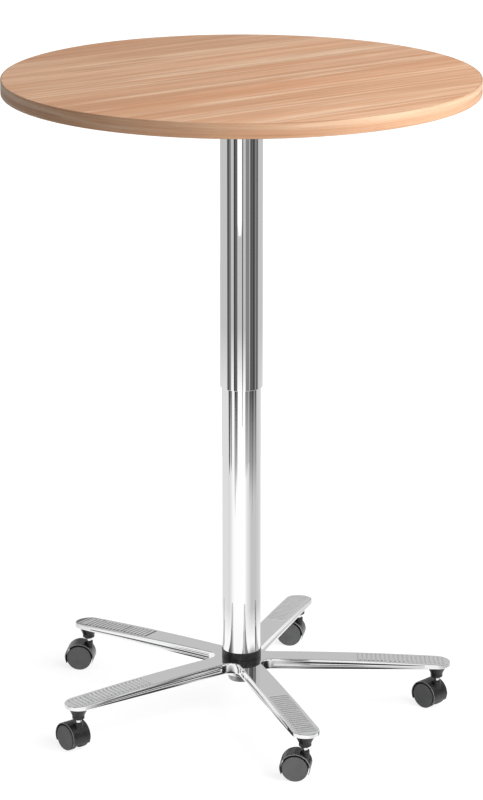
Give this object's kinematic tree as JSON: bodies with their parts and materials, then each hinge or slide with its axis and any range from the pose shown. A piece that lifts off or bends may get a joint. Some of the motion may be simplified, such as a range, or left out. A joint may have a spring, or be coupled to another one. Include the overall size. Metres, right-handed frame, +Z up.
{
  "type": "standing meeting table",
  "caption": "Round standing-height table on a telescopic gas-spring column, with a five-arm polished base on swivelling twin-wheel castors and a release lever under the top.",
  "frame": {"origin": "on the floor, on the column's axis (bottom centre of the table)", "axes": "+Z up along the column; +X along the arm of castor 1 and along the release lever; the top stands at its full height"},
  "size_m": [0.8, 0.8, 1.12],
  "materials": {
    "decor_top": "light beech decor, satin",
    "decor_edge": "light beech decor edging, satin",
    "black_steel": "black powder coat, fine satin",
    "zinc_screws": "bright zinc",
    "chrome_tube": "mirror chrome plating",
    "black_plastic": "black moulded plastic, satin",
    "slide_plastic": "natural acetal, satin",
    "grey_steel": "dark grey enamel, semi-gloss",
    "bright_steel": "ground bright steel",
    "stem_steel": "bright zinc-chrome",
    "buffer_rubber": "black rubber",
    "polished_aluminium": "polished die casting",
    "wheel_plastic": "dark grey moulded plastic, matt"
  },
  "bodies": {
    "base": {"star_base": "polished_aluminium", "lower_tube": "chrome_tube", "base_collar": "black_plastic", "upper_guide_bush": "slide_plastic", "stand_tube": "grey_steel", "stand_bush": "slide_plastic", "thrust_bearing": "bright_steel", "castor_socket_1": "black_plastic", "castor_socket_2": "black_plastic", "castor_socket_3": "black_plastic", "castor_socket_4": "black_plastic", "castor_socket_5": "black_plastic", "castor_stem_1": "stem_steel", "castor_stem_2": "stem_steel", "castor_stem_3": "stem_steel", "castor_stem_4": "stem_steel", "castor_stem_5": "stem_steel"},
    "spring_rod": {"piston_rod": "bright_steel", "piston": "bright_steel", "retaining_clip": "bright_steel", "rubber_buffer": "buffer_rubber"},
    "top": {"tabletop": "decor_top", "edge_band": "decor_edge", "mounting_plate": "black_steel", "plate_screws": "zinc_screws", "upper_tube": "chrome_tube", "lower_guide_bush": "slide_plastic", "spring_seat": "black_steel", "gas_cylinder": "black_steel", "cylinder_gland": "bright_steel", "lever_bracket": "black_steel", "lever_pin": "bright_steel"},
    "lever": {"lever_arm": "bright_steel", "lever_grip": "black_plastic"},
    "release_button": {"release_pin": "bright_steel"},
    "castor_1": {"castor_hood_1": "black_plastic", "castor_axle_1": "bright_steel"},
    "left_roller_1": {"wheel_left_1": "wheel_plastic"},
    "right_roller_1": {"wheel_right_1": "wheel_plastic"},
    "castor_2": {"castor_hood_2": "black_plastic", "castor_axle_2": "bright_steel"},
    "left_roller_2": {"wheel_left_2": "wheel_plastic"},
    "right_roller_2": {"wheel_right_2": "wheel_plastic"},
    "castor_3": {"castor_hood_3": "black_plastic", "castor_axle_3": "bright_steel"},
    "left_roller_3": {"wheel_left_3": "wheel_plastic"},
    "right_roller_3": {"wheel_right_3": "wheel_plastic"},
    "castor_4": {"castor_hood_4": "black_plastic", "castor_axle_4": "bright_steel"},
    "left_roller_4": {"wheel_left_4": "wheel_plastic"},
    "right_roller_4": {"wheel_right_4": "wheel_plastic"},
    "castor_5": {"castor_hood_5": "black_plastic", "castor_axle_5": "bright_steel"},
    "left_roller_5": {"wheel_left_5": "wheel_plastic"},
    "right_roller_5": {"wheel_right_5": "wheel_plastic"}
  },
  "joints": [
    {"name": "top_swivel", "type": "hinge", "parent": "base", "child": "spring_rod", "pos_m": [0, 0, 0.0615], "axis": [0, 0, 1], "continuous": true},
    {"name": "height_lift", "type": "slide", "parent": "spring_rod", "child": "top", "axis": [0, 0, 1], "range_m": [-0.4, 0]},
    {"name": "lever_lift", "type": "hinge", "parent": "top", "child": "lever", "pos_m": [0.052, 0, 1.081], "axis": [0, -1, 0], "range_deg": [0, 3.3], "stiffness_Nm_per_rad": 8, "springref_deg": -5.73},
    {"name": "release_press", "type": "slide", "parent": "top", "child": "release_button", "axis": [0, 0, -1], "range_m": [0, 0.0031]},
    {"name": "castor_swivel_1", "type": "hinge", "parent": "base", "child": "castor_1", "pos_m": [0.3407, 0, 0.0413], "axis": [0, 0, 1], "continuous": true},
    {"name": "left_roll_1", "type": "hinge", "parent": "castor_1", "child": "left_roller_1", "pos_m": [0.32936, 0.01057, 0.0225], "axis": [-0.682, -0.7314, 0], "continuous": true},
    {"name": "right_roll_1", "type": "hinge", "parent": "castor_1", "child": "right_roller_1", "pos_m": [0.32936, 0.01057, 0.0225], "axis": [-0.682, -0.7314, 0], "continuous": true},
    {"name": "castor_swivel_2", "type": "hinge", "parent": "base", "child": "castor_2", "pos_m": [0.10528, 0.32403, 0.0413], "axis": [0, 0, 1], "continuous": true},
    {"name": "left_roll_2", "type": "hinge", "parent": "castor_2", "child": "left_roller_2", "pos_m": [0.09002, 0.32672, 0.0225], "axis": [-0.1736, -0.9848, 0], "continuous": true},
    {"name": "right_roll_2", "type": "hinge", "parent": "castor_2", "child": "right_roller_2", "pos_m": [0.09002, 0.32672, 0.0225], "axis": [-0.1736, -0.9848, 0], "continuous": true},
    {"name": "castor_swivel_3", "type": "hinge", "parent": "base", "child": "castor_3", "pos_m": [-0.27563, 0.20026, 0.0413], "axis": [0, 0, 1], "continuous": true},
    {"name": "left_roll_3", "type": "hinge", "parent": "castor_3", "child": "left_roller_3", "pos_m": [-0.29105, 0.20188, 0.0225], "axis": [-0.1045, -0.9945, 0], "continuous": true},
    {"name": "right_roll_3", "type": "hinge", "parent": "castor_3", "child": "right_roller_3", "pos_m": [-0.29105, 0.20188, 0.0225], "axis": [-0.1045, -0.9945, 0], "continuous": true},
    {"name": "castor_swivel_4", "type": "hinge", "parent": "base", "child": "castor_4", "pos_m": [-0.27563, -0.20026, 0.0413], "axis": [0, 0, 1], "continuous": true},
    {"name": "left_roll_4", "type": "hinge", "parent": "castor_4", "child": "left_roller_4", "pos_m": [-0.28559, -0.18838, 0.0225], "axis": [-0.766, -0.6428, 0], "continuous": true},
    {"name": "right_roll_4", "type": "hinge", "parent": "castor_4", "child": "right_roller_4", "pos_m": [-0.28559, -0.18838, 0.0225], "axis": [-0.766, -0.6428, 0], "continuous": true},
    {"name": "castor_swivel_5", "type": "hinge", "parent": "base", "child": "castor_5", "pos_m": [0.10528, -0.32403, 0.0413], "axis": [0, 0, 1], "continuous": true},
    {"name": "left_roll_5", "type": "hinge", "parent": "castor_5", "child": "left_roller_5", "pos_m": [0.0899, -0.32214, 0.0225], "axis": [-0.1219, -0.9925, 0], "continuous": true},
    {"name": "right_roll_5", "type": "hinge", "parent": "castor_5", "child": "right_roller_5", "pos_m": [0.0899, -0.32214, 0.0225], "axis": [-0.1219, -0.9925, 0], "continuous": true}
  ],
  "couplings": [
    {"joint": "release_press", "follows": "lever_lift", "m_per_rad": 0.052}
  ]
}
